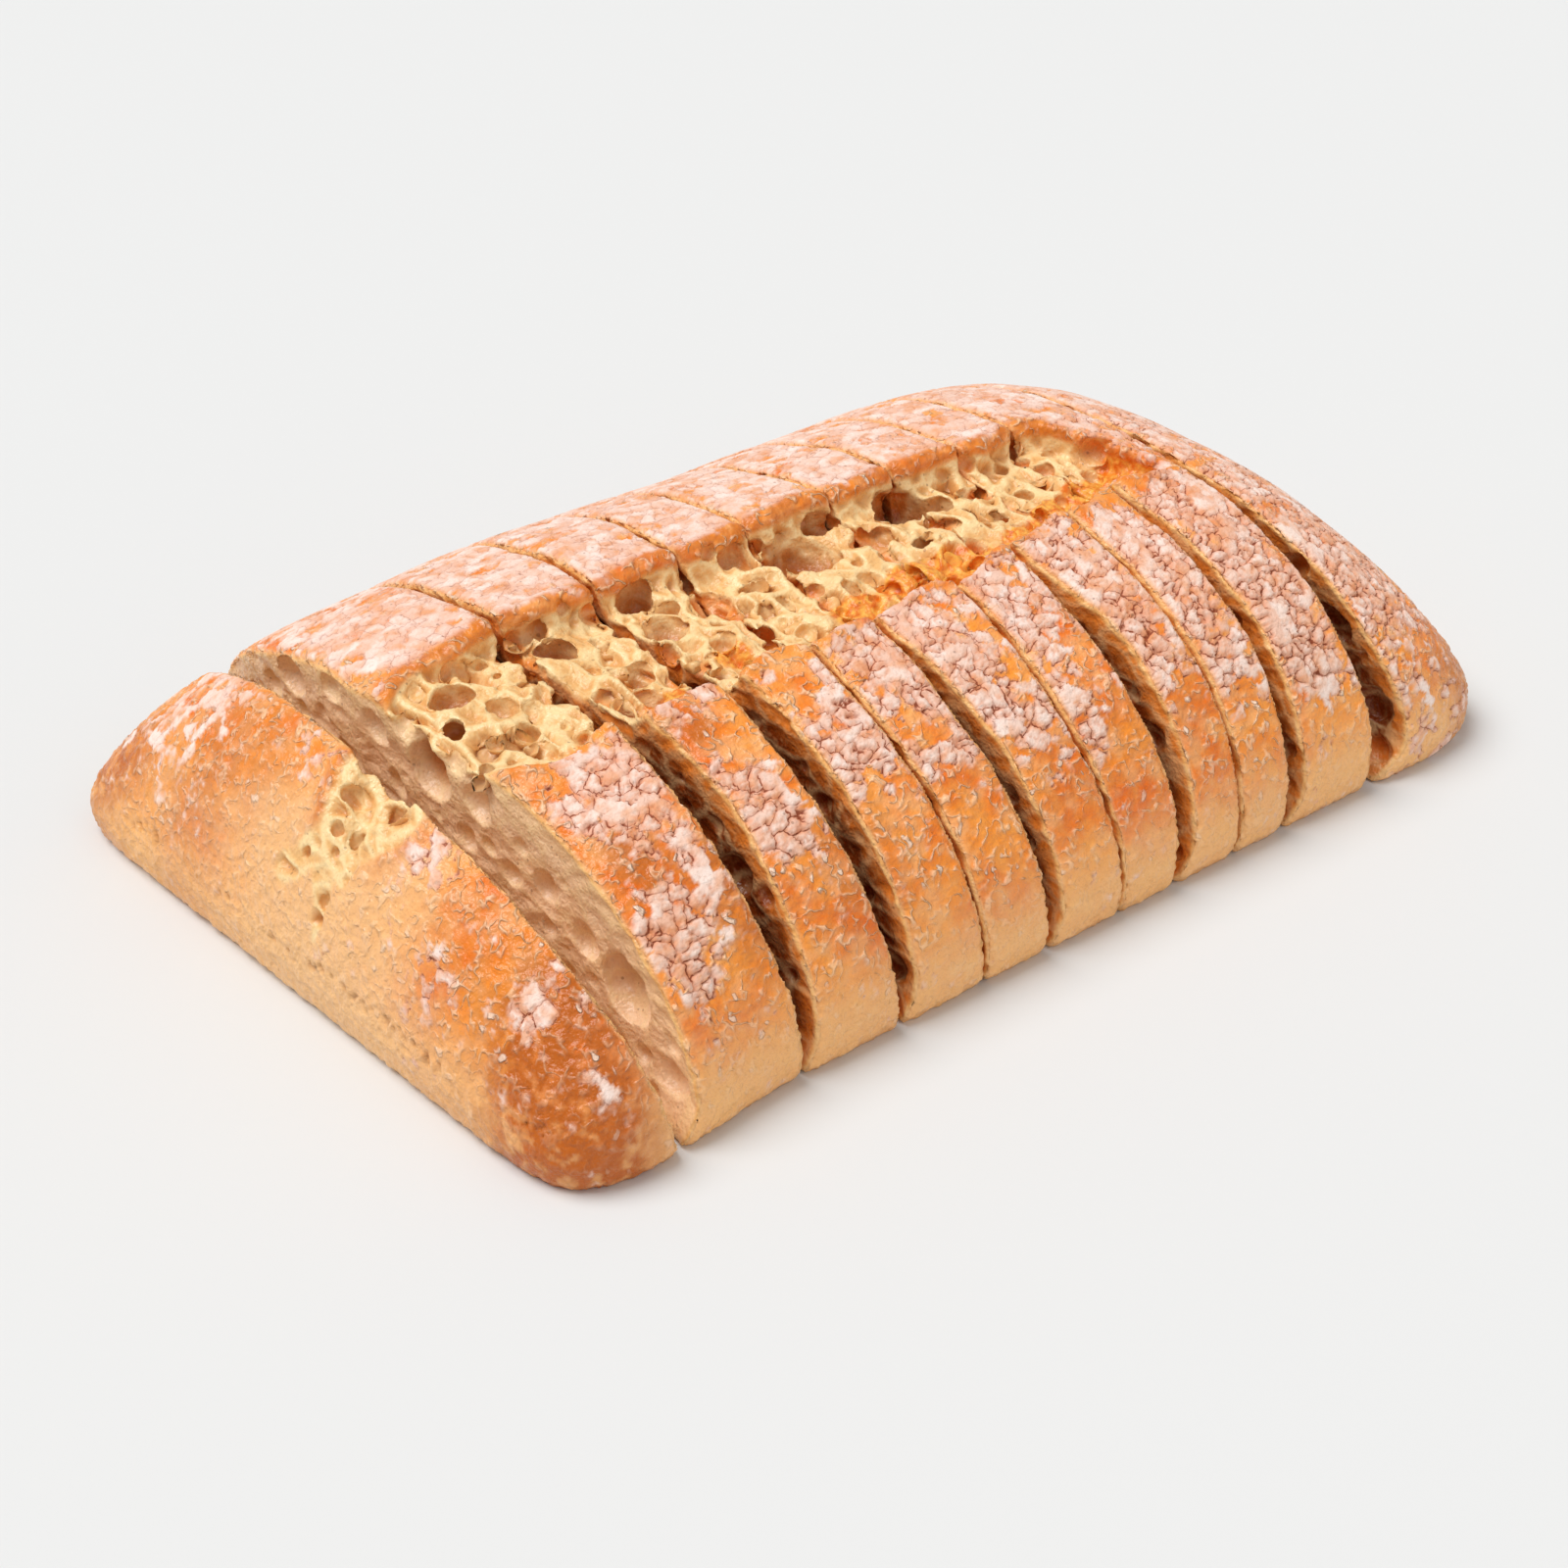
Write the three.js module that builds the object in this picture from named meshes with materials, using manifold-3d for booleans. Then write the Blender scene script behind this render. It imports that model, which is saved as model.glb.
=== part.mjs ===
// A sliced ciabatta: eleven pieces that still keep the shape of the whole loaf.
// Millimetres, +Z up. +X runs along the loaf, -Y is the side the knife gaps open to.
// The origin is the centre of the loaf's box, on the surface that it lies on.
import * as THREE from 'three';
import { mergeVertices } from 'three/addons/utils/BufferGeometryUtils.js';
import Module from 'manifold-3d';

// ---- driving dimensions of the loaf
const LEFT_LENGTH = 129.2; // from the middle of the loaf to each end
const RIGHT_LENGTH = 127.6;
const HALF_WIDTH = 81.9;
const CROWN_HEIGHT = 56.3;
const RIM_HEIGHT = 5.8; // where the side is widest
const RIM_TUCK = 2; // how far the floor edge lies inside the widest line
const LEFT_SQUARENESS = 13.2; // superellipse powers of the outline seen from above
const RIGHT_SQUARENESS = 8;
const LEFT_FALL = 5.4; // powers with which the crown falls to each end
const RIGHT_FALL = 5.0;
const END_ROUND = 1.74;
const SIDE_FALL = 2.29; // powers of the cross-section
const SIDE_ROUND = 1.87;
const LEFT_SKEW = 5.9; // the ends aren't square to the length
const RIGHT_SKEW = 1;
const LEFT_FLARE = 4.2; // both heels stand proud of the middle at the front
const RIGHT_FLARE = 3.4;

// ---- the score: one long slash in the top, torn open by the oven spring
const SCORE = { left: -124, right: 84, frontLip: -31, backLip: 11, depth: 6, wall: 5, ear: 1.2 };

// ---- the knife cuts, from the left heel to the right
// at: the left piece's face where it meets the floor; lean: how far that face leans for each mm
// of height; open: the gap at the front, near the floor; spread: what it gains for each mm of
// height; back: the share of it that is left at the back; shut: the y where it gets that narrow
const CUTS = [
  { at: -98.6, lean: -0.2, open: 5.0, spread: 0.2, back: 0.6, shut: 30 },
  { at: -68.3, lean: -0.06, open: 3.0, spread: 0.09, back: 0.15, shut: 30 },
  { at: -45.6, lean: -0.06, open: 4.0, spread: 0.05, back: 0.14, shut: 30 },
  { at: -24.2, lean: -0.06, open: 0.7, spread: 0.0, back: 0.8, shut: 30 },
  { at: -8.2, lean: -0.05, open: 4.2, spread: 0.0, back: 0.09, shut: -22 },
  { at: 11.2, lean: -0.01, open: 0.7, spread: 0.0, back: 0.5, shut: -22 },
  { at: 26.5, lean: 0.03, open: 4.0, spread: 0.05, back: 0.08, shut: -20 },
  { at: 44.2, lean: 0.05, open: 0.7, spread: 0.0, back: 0.5, shut: -20 },
  { at: 57.0, lean: 0.11, open: 5.8, spread: -0.06, back: 0.18, shut: 20 },
  { at: 82.6, lean: 0.06, open: 12.0, spread: -0.17, back: 0.25, shut: 30 },
];
const LEAST_GAP = 0.35;
const FAN_FRONT = -60; // the gaps fan out as far as here
const FOOT_SHARE = 0.3; // what is left of a gap on the floor
const FOOT_HEIGHT = 9;

// ---- the largest air holes: centre x, y, z and half sizes across x, y, z
const AIR_HOLES = [
  [-105, -3, 44, 6, 5, 5],
  [-113, -6, 38, 4, 2.5, 5],
  [-94, 11, 42, 4, 6, 4],
  [-94, -7, 39, 6, 8, 5],
  [-94, -63, 20, 6, 7, 5],
  [-93, 44, 37, 3, 6, 3],
  [-87, 0, 52, 6, 5, 5],
  [-80, -9, 51, 4, 4, 4],
  [-63, 3, 51, 7, 6, 6],
  [-55, -12, 50, 4, 5, 4],
  [-40, 8, 52, 7, 4, 4],
  [-41, -5, 51, 5, 5, 4],
  [-27, -1, 51, 6, 6, 5],
  [-15, 7, 53, 6, 4, 4],
  [-4, 1, 49, 8, 6, 7],
  [7, 7, 53, 7, 4, 4],
  [28, 2, 50, 11, 8, 7],
  [44, 0, 51, 6, 5, 4],
  [61, 4, 51, 5, 4, 4],
  [72, -4, 51, 7, 5, 4],
  [95, -65, 29, 6, 8, 7],
  [95, -75, 7, 5, 6, 5],
];

// ---- how finely the solids are faceted
const STATIONS = 58;
const ROWS_SIDE = 9;
const ROWS_SCORE = 8;
const BUBBLE_SIDES = 9;
const BUBBLE_RINGS = 6;

const CRUST_COLOR = 0xd39a5c;

const wasm = await Module();
wasm.setup();

const clamp01 = (value) => Math.min(1, Math.max(0, value));

function smoothstep(from, to, value) {
  const t = clamp01((value - from) / (to - from));
  return t * t * (3 - 2 * t);
}

const mix = (a, b, t) => a + (b - a) * t;

// The place along the loaf of a share s, -1 at the left end to 1 at the right.
const alongLoaf = (s) => s * (s < 0 ? LEFT_LENGTH : RIGHT_LENGTH);

// Half width of the loaf at a share s of its length; side is below 0 for the front.
function halfWidth(s, side) {
  const squareness = s < 0 ? LEFT_SQUARENESS : RIGHT_SQUARENESS;
  const plan = HALF_WIDTH * (1 - Math.abs(s) ** squareness) ** (1 / squareness);
  const flare = s < 0 ? LEFT_FLARE : RIGHT_FLARE;
  return side < 0 ? plan + flare * smoothstep(0.55, 0.9, Math.abs(s)) : plan;
}

// Height of the crown along the loaf, 1 over its middle and 0 at the ends.
function crownAlong(s) {
  const fall = s < 0 ? LEFT_FALL : RIGHT_FALL;
  return (1 - Math.abs(s) ** fall) ** (1 / END_ROUND);
}

// Height across the loaf, 1 on its middle line and 0 where t is -1 or 1.
function crownAcross(t) {
  return (1 - Math.min(1, Math.abs(t)) ** SIDE_FALL) ** (1 / SIDE_ROUND);
}

// The low unevenness of a hand-shaped loaf, about a millimetre each way.
function unevenness(x, y) {
  const swell = Math.sin(x / 17 + 0.8) * Math.sin(y / 19 + 1.9);
  const lumps = Math.sin(x / 7.3 + 1.7 * Math.sin(y / 11)) * Math.sin(y / 8.1 + x / 23);
  return 0.7 * swell + 0.45 * lumps;
}

// The torn lips of the score: nearly straight, with a ragged edge.
function lips(x) {
  const ragged = 0.9 * Math.sin(x / 3.1) + 0.7 * Math.sin(x / 5.3 + 2);
  const front = SCORE.frontLip + 20 * smoothstep(-85, -125, x) + 10 * smoothstep(0, 80, x);
  const back = SCORE.backLip - 18 * smoothstep(-88, -125, x) - 29 * smoothstep(68, SCORE.right, x);
  return { front: front + ragged, back: back + 0.6 * ragged };
}

// How far the torn crumb lies under the crown.
function scoreSink(x, y) {
  const { front, back } = lips(x);
  const across = smoothstep(front, front + SCORE.wall, y) * smoothstep(back, back - SCORE.wall, y);
  const along = smoothstep(SCORE.right, SCORE.right - 7, x) * smoothstep(SCORE.left, -113, x);
  const bulge = 1 - 0.6 * Math.exp(-(((x + 93) / 13) ** 2));
  const webs = 1 + 0.2 * Math.sin(x / 2.9 + Math.sin(y / 4)) * Math.sin(y / 3.3 + x / 9);
  return SCORE.depth * across * along * bulge * webs;
}

// The toasted ear, a ragged ridge that stands up along the front lip.
function earHeight(x, y) {
  const { front } = lips(x);
  const ridge = Math.exp(-(((y - front) / 2.2) ** 2));
  const along = smoothstep(-100, -60, x) * smoothstep(SCORE.right, SCORE.right - 10, x);
  return SCORE.ear * ridge * along * (0.55 + 0.45 * Math.sin(x / 3.7 + 1));
}

// The height of the loaf's upper surface.
function topHeight(s, y) {
  const x = alongLoaf(s);
  const rise = crownAlong(s) * crownAcross(y / halfWidth(s, y));
  const crown = RIM_HEIGHT + (CROWN_HEIGHT - RIM_HEIGHT) * rise;
  return crown + rise * (unevenness(x, y) + earHeight(x, y) - scoreSink(x, y));
}

// A point of the shell seen from above: the skew swings each end.
function planPoint(s, y) {
  const skew = (s < 0 ? LEFT_SKEW : RIGHT_SKEW) * Math.abs(s) ** 3;
  return alongLoaf(s) - skew * (y / HALF_WIDTH);
}

// Across one station: y of each row, close together where the side is steep and at the lips.
function rowsAcross(s) {
  const { front, back } = lips(alongLoaf(s));
  const rows = [];
  for (let i = 0; i < ROWS_SIDE; i += 1) {
    const angle = (Math.PI / 2) * (i / ROWS_SIDE);
    rows.push(mix(-halfWidth(s, -1), front, 1 - Math.cos(angle)));
  }
  for (let i = 0; i <= ROWS_SCORE; i += 1) rows.push(mix(front, back, i / ROWS_SCORE));
  for (let i = 1; i <= ROWS_SIDE; i += 1) {
    const angle = (Math.PI / 2) * (i / ROWS_SIDE);
    rows.push(mix(back, halfWidth(s, 1), Math.sin(angle)));
  }
  return rows;
}

// One closed ring of the shell at a station: up the front, over the top, down the back.
function stationRing(s) {
  const frontWidth = halfWidth(s, -1);
  const backWidth = halfWidth(s, 1);
  const ring = [];
  const add = (y, z) => ring.push(new THREE.Vector3(planPoint(s, y), y, z));
  add(-frontWidth + RIM_TUCK, 0);
  add(-frontWidth + RIM_TUCK * 0.25, RIM_HEIGHT * 0.35);
  for (const y of rowsAcross(s)) add(y, Math.max(RIM_HEIGHT, topHeight(s, y)));
  add(backWidth - RIM_TUCK * 0.25, RIM_HEIGHT * 0.35);
  add(backWidth - RIM_TUCK, 0);
  return ring;
}

// Skins the rings into one closed shell, with a flat floor and a flat last ring at each end.
function skinRings(rings) {
  const positions = rings.flat().flatMap((point) => [point.x, point.y, point.z]);
  const size = rings[0].length;
  const faces = [];
  const quad = (a, b, c, d) => faces.push(a, b, c, a, c, d);
  for (let i = 0; i + 1 < rings.length; i += 1) {
    for (let j = 0; j < size; j += 1) {
      const next = (j + 1) % size;
      quad(i * size + j, (i + 1) * size + j, (i + 1) * size + next, i * size + next);
    }
  }
  const last = (rings.length - 1) * size;
  for (let j = 1; j + 1 < size; j += 1) {
    faces.push(0, j, j + 1);
    faces.push(last, last + j + 1, last + j);
  }
  const geometry = new THREE.BufferGeometry();
  geometry.setAttribute('position', new THREE.Float32BufferAttribute(positions, 3));
  geometry.setIndex(faces);
  return geometry;
}

function wholeLoaf() {
  const rings = [];
  const reach = Math.PI / 2 - 0.035;
  for (let i = 0; i <= STATIONS; i += 1) {
    const even = mix(-1, 1, i / STATIONS);
    const eased = Math.sin(even * reach) / Math.sin(reach);
    rings.push(stationRing(0.9992 * mix(even, eased, 0.55)));
  }
  return skinRings(rings);
}

// An air hole of the crumb, a squashed bubble.
function airHole([x, y, z, halfX, halfY, halfZ]) {
  const bubble = new THREE.SphereGeometry(1, BUBBLE_SIDES, BUBBLE_RINGS);
  bubble.scale(halfX, halfY, halfZ);
  bubble.rotateX(0.4 * Math.sin(x));
  bubble.rotateZ(0.7 * Math.sin(x + y));
  bubble.translate(x, y, z);
  return bubble;
}

// The space that one knife cut leaves, a thin wedge that widens to the front.
function knifeGap(cut) {
  const slab = new THREE.BoxGeometry(1, 2 * HALF_WIDTH + 20, 90, 1, 9, 4);
  slab.translate(0, 0, 35);
  const place = slab.attributes.position;
  for (let i = 0; i < place.count; i += 1) {
    const side = place.getX(i) + 0.5;
    const y = place.getY(i);
    const z = place.getZ(i);
    const fan = mix(cut.back, 1, smoothstep(cut.shut, FAN_FRONT, y) ** 1.4);
    const foot = mix(FOOT_SHARE, 1, smoothstep(0, FOOT_HEIGHT, z));
    const gap = Math.max(LEAST_GAP, (cut.open + cut.spread * Math.max(0, z)) * fan * foot);
    place.setX(i, cut.at + cut.lean * z + gap * side);
  }
  return slab;
}

function toManifold(geometry) {
  const bare = geometry.clone();
  bare.deleteAttribute('normal');
  bare.deleteAttribute('uv');
  const merged = mergeVertices(bare, 1e-4);
  const mesh = new wasm.Mesh({
    numProp: 3,
    vertProperties: new Float32Array(merged.attributes.position.array),
    triVerts: new Uint32Array(merged.index.array),
  });
  return new wasm.Manifold(mesh);
}

function toGeometry(solid) {
  const mesh = solid.getMesh();
  const geometry = new THREE.BufferGeometry();
  geometry.setAttribute('position', new THREE.BufferAttribute(mesh.vertProperties, 3));
  geometry.setIndex(new THREE.BufferAttribute(mesh.triVerts, 1));
  geometry.computeVertexNormals();
  return geometry;
}

function pieceName(index) {
  if (index === 0) return 'heel_left';
  if (index === CUTS.length) return 'heel_right';
  return `slice_0${index}`;
}

// Opens the crumb, runs the knife through and returns the pieces from left to right.
function slicedPieces() {
  let loaf = toManifold(wholeLoaf());
  for (const hole of AIR_HOLES) loaf = loaf.subtract(toManifold(airHole(hole)));
  for (const cut of CUTS) loaf = loaf.subtract(toManifold(knifeGap(cut)));
  const parts = loaf.decompose().filter((part) => part.volume() > 500);
  const middle = (part) => {
    const { min, max } = part.boundingBox();
    return (min[0] + max[0]) / 2;
  };
  return parts.sort((a, b) => middle(a) - middle(b));
}

// Moves the pieces together, so that the whole loaf's box is centred on the origin.
function centre(geometries) {
  const box = new THREE.Box3();
  for (const geometry of geometries) {
    box.union(new THREE.Box3().setFromBufferAttribute(geometry.attributes.position));
  }
  const middle = box.getCenter(new THREE.Vector3());
  for (const geometry of geometries) geometry.translate(-middle.x, -middle.y, 0);
}

const ciabatta = new THREE.Group();
const bread = new THREE.MeshStandardMaterial({
  color: CRUST_COLOR,
  roughness: 0.75,
  metalness: 0,
});
const geometries = slicedPieces().map(toGeometry);
centre(geometries);
geometries.forEach((geometry, index) => {
  const piece = new THREE.Mesh(geometry, bread);
  piece.name = pieceName(index);
  ciabatta.add(piece);
});

export default ciabatta;
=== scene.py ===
# %% [markdown]
# # A sliced ciabatta
# A flat, wet-dough loaf with a floured crust. One long slash in its top tore open in the oven, and a
# knife cut it into eleven pieces that still stand together as the loaf. Each slice could be modelled
# on its own, but then it would no longer fit its neighbours. So this notebook shapes the whole loaf
# first, blows air holes into it, runs the knife through, and then finishes each piece with a fine
# relief and one baked material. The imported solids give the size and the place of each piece, so the
# first step loads them.

# %% Load the frame
import math
import random
from types import SimpleNamespace

import bmesh
import bpy
import numpy as np
from mathutils import Euler, Matrix, Vector, noise


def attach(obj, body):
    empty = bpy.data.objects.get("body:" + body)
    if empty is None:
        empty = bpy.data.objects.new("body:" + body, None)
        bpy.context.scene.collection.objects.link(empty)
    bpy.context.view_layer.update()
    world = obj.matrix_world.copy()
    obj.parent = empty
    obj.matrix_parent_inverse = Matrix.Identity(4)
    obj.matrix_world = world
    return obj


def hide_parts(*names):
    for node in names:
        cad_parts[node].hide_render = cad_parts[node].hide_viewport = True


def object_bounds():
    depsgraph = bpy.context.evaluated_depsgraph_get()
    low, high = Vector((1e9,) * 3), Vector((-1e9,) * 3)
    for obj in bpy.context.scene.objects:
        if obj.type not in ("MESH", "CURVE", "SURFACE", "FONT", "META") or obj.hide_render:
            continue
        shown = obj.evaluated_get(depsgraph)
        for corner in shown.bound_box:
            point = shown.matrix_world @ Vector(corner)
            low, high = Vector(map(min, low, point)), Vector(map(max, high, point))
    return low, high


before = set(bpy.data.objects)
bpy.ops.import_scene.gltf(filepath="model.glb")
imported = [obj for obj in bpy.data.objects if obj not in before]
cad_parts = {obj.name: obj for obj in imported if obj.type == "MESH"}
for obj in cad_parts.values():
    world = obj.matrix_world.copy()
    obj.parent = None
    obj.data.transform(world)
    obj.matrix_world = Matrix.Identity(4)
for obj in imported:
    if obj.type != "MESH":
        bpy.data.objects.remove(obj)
cad_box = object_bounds()
NODES = ["heel_left"] + [f"slice_{i:02d}" for i in range(1, 10)] + ["heel_right"]
print("the loaf's box, in metres:", cad_box)

# %% [markdown]
# ## Measures
# A loaf could be sculpted by eye, but then its pieces wouldn't keep the form of the solids. So the
# same few curves describe it: a superellipse seen from above, a crown that falls to the ends and to
# the sides, and a slash between two ragged lips. All lengths are in millimetres, because crusts and
# air holes are a few millimetres in size. Each piece is turned into metres at the very end.

# %% Driving dimensions
MM = 0.001
# seen from above: the half lengths and the half width, how square the ends are, how far they slant,
# and how far the front flares out towards them
LEFT_LENGTH = 129.2
RIGHT_LENGTH = 127.6
HALF_WIDTH = 81.9
LEFT_SQUARENESS = 13.2
RIGHT_SQUARENESS = 8.0
LEFT_SKEW = 5.9
RIGHT_SKEW = 1.0
LEFT_FLARE = 4.2
RIGHT_FLARE = 3.4
FLARE_FROM = 0.55
FLARE_FULL = 0.9
# seen from the side: the crown, the low rim at the board, and how steeply the crown falls to them
CROWN_HEIGHT = 56.3
RIM_HEIGHT = 5.8
RIM_TUCK = 2.0
LEFT_FALL = 5.4
RIGHT_FALL = 5.0
END_ROUND = 1.74
SIDE_FALL = 2.29
SIDE_ROUND = 1.87
SWELL_HEIGHT = 0.7
LUMP_HEIGHT = 0.45
# the share of the half length at which the skin ends, just short of the flat end of the curve
END_SHARE = 0.9992

# the slash: its ends, its two lips, and how deep and how steep it is
SCORE_LEFT = -124.0
SCORE_RIGHT = 84.0
FRONT_LIP = -31.0
BACK_LIP = 11.0
SCORE_DEPTH = 6.0
SCORE_WALL = 5.0
EAR_HEIGHT = 1.2
EAR_WIDTH = 2.2
# its floor is shallower beside the first cut
SHALLOW_AT = -93.0
SHALLOW_LENGTH = 13.0
SHALLOW_SHARE = 0.6
print("length", LEFT_LENGTH + RIGHT_LENGTH, "width", 2 * HALF_WIDTH, "height", CROWN_HEIGHT, "mm")

# %% The ten cuts
# at: the left piece's face at the floor; lean: its slope; open: the gap at the front near the
# floor; spread: its gain with height; back: the share left at the back; shut: the y of that
CUTS = [
    {"at": -98.6, "lean": -0.2, "open": 5.0, "spread": 0.2, "back": 0.6, "shut": 30},
    {"at": -68.3, "lean": -0.06, "open": 3.0, "spread": 0.09, "back": 0.15, "shut": 30},
    {"at": -45.6, "lean": -0.06, "open": 4.0, "spread": 0.05, "back": 0.14, "shut": 30},
    {"at": -24.2, "lean": -0.06, "open": 0.7, "spread": 0.0, "back": 0.8, "shut": 30},
    {"at": -8.2, "lean": -0.05, "open": 4.2, "spread": 0.0, "back": 0.09, "shut": -22},
    {"at": 11.2, "lean": -0.01, "open": 0.7, "spread": 0.0, "back": 0.5, "shut": -22},
    {"at": 26.5, "lean": 0.03, "open": 4.0, "spread": 0.05, "back": 0.08, "shut": -20},
    {"at": 44.2, "lean": 0.05, "open": 0.7, "spread": 0.0, "back": 0.5, "shut": -20},
    {"at": 57.0, "lean": 0.11, "open": 5.8, "spread": -0.06, "back": 0.18, "shut": 20},
    {"at": 82.6, "lean": 0.06, "open": 12.0, "spread": -0.17, "back": 0.25, "shut": 30},
]
LEAST_GAP = 0.35
# a cut has its full gap from this y to the front, and closes along a curve towards the back
FAN_FRONT = -60.0
FAN_CURVE = 1.4
# below this height it narrows, down to this share of its gap
FOOT_HEIGHT = 9.0
FOOT_SHARE = 0.3
print(len(CUTS), "cuts make", len(NODES), "pieces")


# %% Helpers for curves
def mix(a, b, t):
    return a + (b - a) * t


def smoothstep(start, end, value):
    t = min(1.0, max(0.0, (value - start) / (end - start)))
    return t * t * (3 - 2 * t)


def bump(value, middle, width):
    return math.exp(-(((value - middle) / width) ** 2))


print("half way, a smoothstep is at", smoothstep(0, 2, 1))


# %% The loaf from above and from the side
# s runs from -1 at the left end to 1 at the right end
def along_loaf(s):
    return s * (LEFT_LENGTH if s < 0 else RIGHT_LENGTH)


def half_width(s, side):
    squareness = LEFT_SQUARENESS if s < 0 else RIGHT_SQUARENESS
    plan = HALF_WIDTH * (1 - abs(s) ** squareness) ** (1 / squareness)
    flare = LEFT_FLARE if s < 0 else RIGHT_FLARE
    return plan + flare * smoothstep(FLARE_FROM, FLARE_FULL, abs(s)) if side < 0 else plan


def plan_point(s, y):
    skew = (LEFT_SKEW if s < 0 else RIGHT_SKEW) * abs(s) ** 3
    return along_loaf(s) - skew * (y / HALF_WIDTH)


def crown_height(s, y):
    fall = LEFT_FALL if s < 0 else RIGHT_FALL
    along = (1 - abs(s) ** fall) ** (1 / END_ROUND)
    t = min(1.0, abs(y / half_width(s, y)))
    rise = along * (1 - t ** SIDE_FALL) ** (1 / SIDE_ROUND)
    return rise, RIM_HEIGHT + (CROWN_HEIGHT - RIM_HEIGHT) * rise


# what x and y are divided by is the length of a wave, in millimetres
def unevenness(x, y):
    swell = math.sin(x / 17 + 0.8) * math.sin(y / 19 + 1.9)
    lumps = math.sin(x / 7.3 + 1.7 * math.sin(y / 11)) * math.sin(y / 8.1 + x / 23)
    return SWELL_HEIGHT * swell + LUMP_HEIGHT * lumps


print("crown over the middle:", round(crown_height(0, 0)[1], 1), "mm")


# %% The slash between its lips
def lips(x):
    ragged = 0.9 * math.sin(x / 3.1) + 0.7 * math.sin(x / 5.3 + 2)
    front = FRONT_LIP + 20 * smoothstep(-85, -125, x) + 10 * smoothstep(0, 80, x)
    back = BACK_LIP - 18 * smoothstep(-88, -125, x) - 29 * smoothstep(68, SCORE_RIGHT, x)
    return front + ragged, back + 0.6 * ragged


def torn_share(x, y):
    front, back = lips(x)
    across = smoothstep(front, front + SCORE_WALL, y) * smoothstep(back, back - SCORE_WALL, y)
    along = smoothstep(SCORE_RIGHT, SCORE_RIGHT - 7, x) * smoothstep(SCORE_LEFT, -113, x)
    return across * along


def score_sink(x, y):
    shallow = 1 - SHALLOW_SHARE * bump(x, SHALLOW_AT, SHALLOW_LENGTH)
    ripples = 1 + 0.2 * math.sin(x / 2.9 + math.sin(y / 4)) * math.sin(y / 3.3 + x / 9)
    return SCORE_DEPTH * torn_share(x, y) * shallow * ripples


def ear_height(x, y):
    front, back = lips(x)
    along = smoothstep(-100, -60, x) * smoothstep(SCORE_RIGHT, SCORE_RIGHT - 10, x)
    return EAR_HEIGHT * bump(y, front, EAR_WIDTH) * along * (0.55 + 0.45 * math.sin(x / 3.7 + 1))


def top_height(s, y):
    x = along_loaf(s)
    rise, crown = crown_height(s, y)
    return crown + rise * (unevenness(x, y) + ear_height(x, y) - score_sink(x, y))


print("lips over the middle at y", [round(lip, 1) for lip in lips(0)], "mm")


# %% The gap of a cut
def knife_gap(cut, y, z):
    fan = mix(cut["back"], 1, smoothstep(cut["shut"], FAN_FRONT, y) ** FAN_CURVE)
    foot = mix(FOOT_SHARE, 1, smoothstep(0, FOOT_HEIGHT, z))
    return max(LEAST_GAP, (cut["open"] + cut["spread"] * max(0, z)) * fan * foot)


print("gaps at the front, 20 mm up:", [round(knife_gap(cut, FAN_FRONT, 20), 1) for cut in CUTS])

# %% [markdown]
# ## The whole loaf
# The crust is one skin. It could be a squashed ball, but that gathers its vertices at two poles. A
# flat grid from bmesh takes its form instead: its outer two rows become the side wall and the
# tucked-in foot, all the rest is pulled up to the crown, and its rows crowd towards the sides. The
# open border is then filled with the floor that the loaf stood on.

# %% Where the rows of the skin lie
GRID_X = 230
GRID_Y = 190
WALL_ROWS = 2
# how far each wall row is tucked in and how high it is, as shares of the rim's tuck and height
WALL_TUCK = (1.0, 0.25)
WALL_RISE = (0.0, 0.35)
# the share of the rows on either side of the middle that lie in the slash
SCORE_SHARE = 0.16
ROW_CROWDING = 0.85
STATION_CROWDING = 0.55
STATION_REACH = math.pi / 2 - 0.035


def station(share):
    eased = math.sin(share * STATION_REACH) / math.sin(STATION_REACH)
    return END_SHARE * mix(share, eased, STATION_CROWDING)


def row(s, share):
    front, back = lips(along_loaf(s))
    if share < -SCORE_SHARE:
        up = (1 + share) / (1 - SCORE_SHARE)
        eased = 1 - math.cos(up * math.pi / 2)
        return mix(-half_width(s, -1), front, mix(up, eased, ROW_CROWDING))
    if share <= SCORE_SHARE:
        return mix(front, back, (share + SCORE_SHARE) / (2 * SCORE_SHARE))
    down = (share - SCORE_SHARE) / (1 - SCORE_SHARE)
    eased = math.sin(down * math.pi / 2)
    return mix(back, half_width(s, 1), mix(down, eased, ROW_CROWDING))


def outward(s, y):
    squareness = (LEFT_SQUARENESS if s < 0 else RIGHT_SQUARENESS) - 1
    along = math.copysign(abs(s) ** squareness / LEFT_LENGTH, s)
    across = math.copysign(abs(y / HALF_WIDTH) ** squareness / HALF_WIDTH, y)
    return Vector((along, across, 0)).normalized()


def skin_place(i, j):
    inner_i = min(GRID_X - WALL_ROWS, max(WALL_ROWS, i))
    inner_j = min(GRID_Y - WALL_ROWS, max(WALL_ROWS, j))
    s = station(2 * (inner_i - WALL_ROWS) / (GRID_X - 2 * WALL_ROWS) - 1)
    y = row(s, 2 * (inner_j - WALL_ROWS) / (GRID_Y - 2 * WALL_ROWS) - 1)
    place = Vector((plan_point(s, y), y, max(RIM_HEIGHT, top_height(s, y))))
    wall = min(i, GRID_X - i, j, GRID_Y - j)
    if wall < WALL_ROWS:
        place.z = WALL_RISE[wall] * RIM_HEIGHT
        place -= WALL_TUCK[wall] * RIM_TUCK * outward(s, y)
    return place


print("a corner of the floor:", [round(v, 1) for v in skin_place(0, 0)], "mm")


# %% A grid becomes the skin
def linked(name, data):
    thing = bpy.data.objects.new(name, data)
    bpy.context.scene.collection.objects.link(thing)
    return thing


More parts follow.
